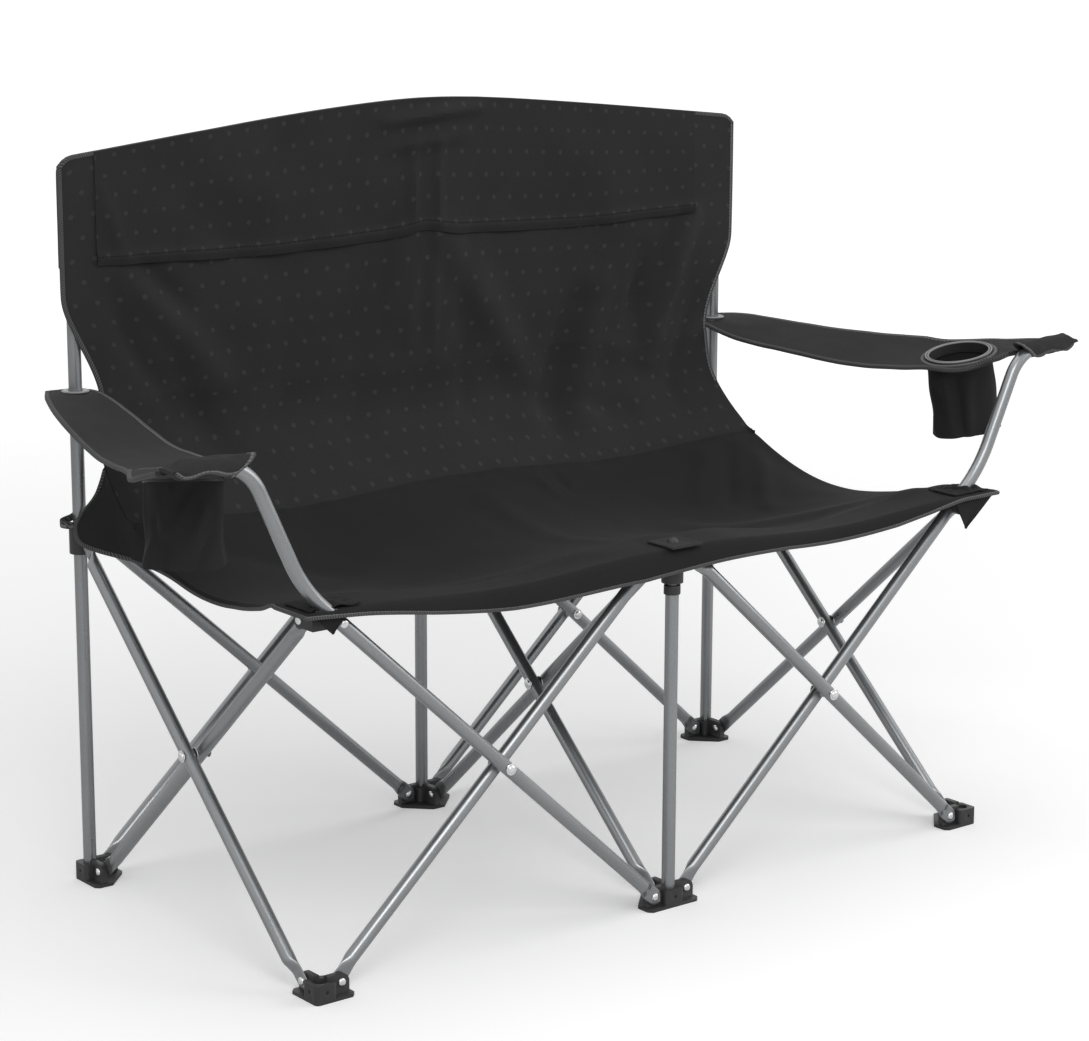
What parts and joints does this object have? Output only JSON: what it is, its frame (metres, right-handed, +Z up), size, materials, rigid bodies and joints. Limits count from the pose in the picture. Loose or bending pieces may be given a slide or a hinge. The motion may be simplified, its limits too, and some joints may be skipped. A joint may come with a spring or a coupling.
{
  "type": "folding camping loveseat",
  "caption": "Folding camping loveseat: dark cloth sling seat and back on crossed grey steel tubes, with moulded feet and cloth armrests that carry cup holders.",
  "frame": {"origin": "on the ground under the middle of the chair's outer box", "axes": "+X to the right as seen from the front, +Y to the back, +Z up; the chair faces -Y"},
  "size_m": [1.3812, 0.5506, 0.926],
  "materials": {
    "steel_tube": "satin grey",
    "rivet": "bright",
    "plastic": "satin black",
    "cloth": "woven, matt charcoal",
    "lining": "woven, matt charcoal"
  },
  "bodies": {
    "back_middle_post": {"foot_back_middle": "plastic", "upright_back_middle": "steel_tube", "plug_back_middle": "plastic", "pocket_back_middle": "lining", "back_panel": "cloth"},
    "back_left_post": {"foot_back_left": "plastic", "upright_back_left": "steel_tube", "plug_back_left": "plastic", "pocket_back_left": "lining"},
    "back_right_post": {"foot_back_right": "plastic", "upright_back_right": "steel_tube", "plug_back_right": "plastic", "pocket_back_right": "lining"},
    "front_middle_post": {"foot_front_middle": "plastic", "upright_front_middle": "steel_tube", "cap_front_middle": "plastic"},
    "front_middle_hub": {"hub_front_middle": "plastic", "inner_tube_front_middle": "steel_tube", "seat_patch": "lining", "seat_screw_cap": "plastic"},
    "slider_back_left": {"slider_back_left": "plastic"},
    "slider_back_middle": {"slider_back_middle": "plastic"},
    "slider_back_right": {"slider_back_right": "plastic"},
    "front_left_foot": {"foot_front_left": "plastic"},
    "front_right_foot": {"foot_front_right": "plastic"},
    "front_left_hub": {"hub_front_left": "plastic"},
    "front_right_hub": {"hub_front_right": "plastic"},
    "back_left_up_left": {"back_left_tube_up_left": "steel_tube", "cross_rivet_back_left": "rivet"},
    "back_left_up_middle": {"back_left_tube_up_middle": "steel_tube"},
    "back_right_up_right": {"back_right_tube_up_right": "steel_tube", "cross_rivet_back_right": "rivet"},
    "back_right_up_middle": {"back_right_tube_up_middle": "steel_tube"},
    "middle_up_front": {"middle_tube_up_front": "steel_tube", "cross_rivet_middle": "rivet"},
    "middle_up_back": {"middle_tube_up_back": "steel_tube"},
    "left_side_up_front": {"left_side_tube_up_front": "steel_tube", "cross_rivet_left_side": "rivet"},
    "left_side_up_back": {"left_side_tube_up_back": "steel_tube"},
    "right_side_up_front": {"right_side_tube_up_front": "steel_tube", "cross_rivet_right_side": "rivet"},
    "right_side_up_back": {"right_side_tube_up_back": "steel_tube"},
    "arm_left": {"arm_tube_left": "steel_tube", "cross_rivet_front_left": "rivet"},
    "front_left_up_middle": {"front_left_tube_up_middle": "steel_tube"},
    "arm_right": {"arm_tube_right": "steel_tube", "cross_rivet_front_right": "rivet"},
    "front_right_up_middle": {"front_right_tube_up_middle": "steel_tube"},
    "lower_back_cloth": {"lower_back_panel": "cloth"},
    "seat_cloth": {"seat_panel": "cloth"},
    "armrest_left_cloth": {"armrest_left": "cloth", "cup_ring_left": "plastic", "cup_holder_left": "lining"},
    "armrest_right_cloth": {"armrest_right": "cloth", "cup_ring_right": "plastic", "cup_holder_right": "lining"}
  },
  "joints": [
    {"name": "fold", "type": "hinge", "parent": "back_middle_post", "child": "back_left_up_left", "pos_m": [-0.026, 0.25, 0.016], "axis": [0, 1, 0], "range_deg": [0, 43], "deforming": ["back_panel", "lower_back_panel", "seat_panel", "armrest_left", "armrest_right", "cup_holder_left", "cup_holder_right", "cup_ring_left", "cup_ring_right"]},
    {"name": "back_left_cross", "type": "hinge", "parent": "back_left_up_left", "child": "back_left_up_middle", "pos_m": [-0.25, 0.25, 0.22], "axis": [0, 1, 0], "range_deg": [-86, 0]},
    {"name": "back_left_post_turn", "type": "hinge", "parent": "back_left_up_middle", "child": "back_left_post", "pos_m": [-0.474, 0.25, 0.016], "axis": [0, 1, 0], "range_deg": [0, 43]},
    {"name": "slider_back_left_turn", "type": "hinge", "parent": "back_left_up_left", "child": "slider_back_left", "pos_m": [-0.474, 0.25, 0.424], "axis": [0, 1, 0], "range_deg": [-43, 0]},
    {"name": "back_right_lift", "type": "hinge", "parent": "back_middle_post", "child": "back_right_up_right", "pos_m": [0.026, 0.25, 0.016], "axis": [0, 1, 0], "range_deg": [-43, 0]},
    {"name": "back_right_cross", "type": "hinge", "parent": "back_right_up_right", "child": "back_right_up_middle", "pos_m": [0.25, 0.25, 0.22], "axis": [0, 1, 0], "range_deg": [0, 86]},
    {"name": "back_right_post_turn", "type": "hinge", "parent": "back_right_up_middle", "child": "back_right_post", "pos_m": [0.474, 0.25, 0.016], "axis": [0, 1, 0], "range_deg": [-43, 0]},
    {"name": "slider_back_right_turn", "type": "hinge", "parent": "back_right_up_right", "child": "slider_back_right", "pos_m": [0.474, 0.25, 0.424], "axis": [0, 1, 0], "range_deg": [0, 43]},
    {"name": "slider_back_middle_turn", "type": "hinge", "parent": "back_left_up_middle", "child": "slider_back_middle", "pos_m": [-0.026, 0.25, 0.424], "axis": [0, 1, 0], "range_deg": [0, 43]},
    {"name": "middle_lift", "type": "hinge", "parent": "back_middle_post", "child": "middle_up_front", "pos_m": [0, 0.224, 0.016], "axis": [1, 0, 0], "range_deg": [-43, 0]},
    {"name": "middle_cross", "type": "hinge", "parent": "middle_up_front", "child": "middle_up_back", "pos_m": [0, 0, 0.22], "axis": [1, 0, 0], "range_deg": [0, 86]},
    {"name": "front_middle_post_turn", "type": "hinge", "parent": "middle_up_back", "child": "front_middle_post", "pos_m": [0, -0.224, 0.016], "axis": [1, 0, 0], "range_deg": [-43, 0]},
    {"name": "front_middle_hub_turn", "type": "hinge", "parent": "middle_up_front", "child": "front_middle_hub", "pos_m": [0, -0.224, 0.424], "axis": [1, 0, 0], "range_deg": [0, 43]},
    {"name": "left_side_lift", "type": "hinge", "parent": "back_left_post", "child": "left_side_up_front", "pos_m": [-0.5, 0.224, 0.016], "axis": [1, 0, 0], "range_deg": [-43, 0]},
    {"name": "left_side_cross", "type": "hinge", "parent": "left_side_up_front", "child": "left_side_up_back", "pos_m": [-0.5, 0, 0.22], "axis": [1, 0, 0], "range_deg": [0, 86]},
    {"name": "front_left_foot_turn", "type": "hinge", "parent": "left_side_up_back", "child": "front_left_foot", "pos_m": [-0.5, -0.224, 0.016], "axis": [1, 0, 0], "range_deg": [-43, 0]},
    {"name": "front_left_hub_turn", "type": "hinge", "parent": "left_side_up_front", "child": "front_left_hub", "pos_m": [-0.5, -0.224, 0.424], "axis": [1, 0, 0], "range_deg": [0, 43]},
    {"name": "right_side_lift", "type": "hinge", "parent": "back_right_post", "child": "right_side_up_front", "pos_m": [0.5, 0.224, 0.016], "axis": [1, 0, 0], "range_deg": [-43, 0]},
    {"name": "right_side_cross", "type": "hinge", "parent": "right_side_up_front", "child": "right_side_up_back", "pos_m": [0.5, 0, 0.22], "axis": [1, 0, 0], "range_deg": [0, 86]},
    {"name": "front_right_foot_turn", "type": "hinge", "parent": "right_side_up_back", "child": "front_right_foot", "pos_m": [0.5, -0.224, 0.016], "axis": [1, 0, 0], "range_deg": [-43, 0]},
    {"name": "front_right_hub_turn", "type": "hinge", "parent": "right_side_up_front", "child": "front_right_hub", "pos_m": [0.5, -0.224, 0.424], "axis": [1, 0, 0], "range_deg": [0, 43]},
    {"name": "arm_left_lift", "type": "hinge", "parent": "front_middle_post", "child": "arm_left", "pos_m": [-0.026, -0.25, 0.016], "axis": [0, 1, 0], "range_deg": [0, 43]},
    {"name": "front_left_cross", "type": "hinge", "parent": "arm_left", "child": "front_left_up_middle", "pos_m": [-0.25, -0.25, 0.22], "axis": [0, 1, 0], "range_deg": [-86, 0]},
    {"name": "arm_right_lift", "type": "hinge", "parent": "front_middle_post", "child": "arm_right", "pos_m": [0.026, -0.25, 0.016], "axis": [0, 1, 0], "range_deg": [-43, 0]},
    {"name": "front_right_cross", "type": "hinge", "parent": "arm_right", "child": "front_right_up_middle", "pos_m": [0.25, -0.25, 0.22], "axis": [0, 1, 0], "range_deg": [0, 86]},
    {"name": "lower_back_swing", "type": "hinge", "parent": "back_middle_post", "child": "lower_back_cloth", "pos_m": [0, 0.2387, 0.59], "axis": [1, 0, 0], "range_deg": [0, 30.1]},
    {"name": "seat_swing", "type": "hinge", "parent": "front_middle_hub", "child": "seat_cloth", "pos_m": [0, -0.25, 0.437], "axis": [1, 0, 0], "range_deg": [-84.71, 0]},
    {"name": "armrest_left_swing", "type": "hinge", "parent": "back_left_post", "child": "armrest_left_cloth", "pos_m": [-0.00117, -0.00187, 0.634], "axis": [-0.8486, 0.529, 0], "range_deg": [0, 68.28]},
    {"name": "armrest_right_swing", "type": "hinge", "parent": "back_right_post", "child": "armrest_right_cloth", "pos_m": [0.00117, -0.00187, 0.634], "axis": [-0.8486, -0.529, 0], "range_deg": [0, 68.28]}
  ],
  "couplings": [
    {"joint": "back_left_cross", "follows": "fold", "ratio": -2},
    {"joint": "back_left_post_turn", "follows": "fold", "ratio": 1},
    {"joint": "slider_back_left_turn", "follows": "fold", "ratio": -1},
    {"joint": "back_right_lift", "follows": "fold", "ratio": -1},
    {"joint": "back_right_cross", "follows": "fold", "ratio": 2},
    {"joint": "back_right_post_turn", "follows": "fold", "ratio": -1},
    {"joint": "slider_back_right_turn", "follows": "fold", "ratio": 1},
    {"joint": "slider_back_middle_turn", "follows": "fold", "ratio": 1},
    {"joint": "middle_lift", "follows": "fold", "ratio": -1},
    {"joint": "middle_cross", "follows": "fold", "ratio": 2},
    {"joint": "front_middle_post_turn", "follows": "fold", "ratio": -1},
    {"joint": "front_middle_hub_turn", "follows": "fold", "ratio": 1},
    {"joint": "left_side_lift", "follows": "fold", "ratio": -1},
    {"joint": "left_side_cross", "follows": "fold", "ratio": 2},
    {"joint": "front_left_foot_turn", "follows": "fold", "ratio": -1},
    {"joint": "front_left_hub_turn", "follows": "fold", "ratio": 1},
    {"joint": "right_side_lift", "follows": "fold", "ratio": -1},
    {"joint": "right_side_cross", "follows": "fold", "ratio": 2},
    {"joint": "front_right_foot_turn", "follows": "fold", "ratio": -1},
    {"joint": "front_right_hub_turn", "follows": "fold", "ratio": 1},
    {"joint": "arm_left_lift", "follows": "fold", "ratio": 1},
    {"joint": "front_left_cross", "follows": "fold", "ratio": -2},
    {"joint": "arm_right_lift", "follows": "fold", "ratio": -1},
    {"joint": "front_right_cross", "follows": "fold", "ratio": 2},
    {"joint": "lower_back_swing", "follows": "fold", "ratio": 0.7},
    {"joint": "seat_swing", "follows": "fold", "ratio": -1.97},
    {"joint": "armrest_left_swing", "follows": "fold", "ratio": 1.588},
    {"joint": "armrest_right_swing", "follows": "fold", "ratio": 1.588}
  ]
}
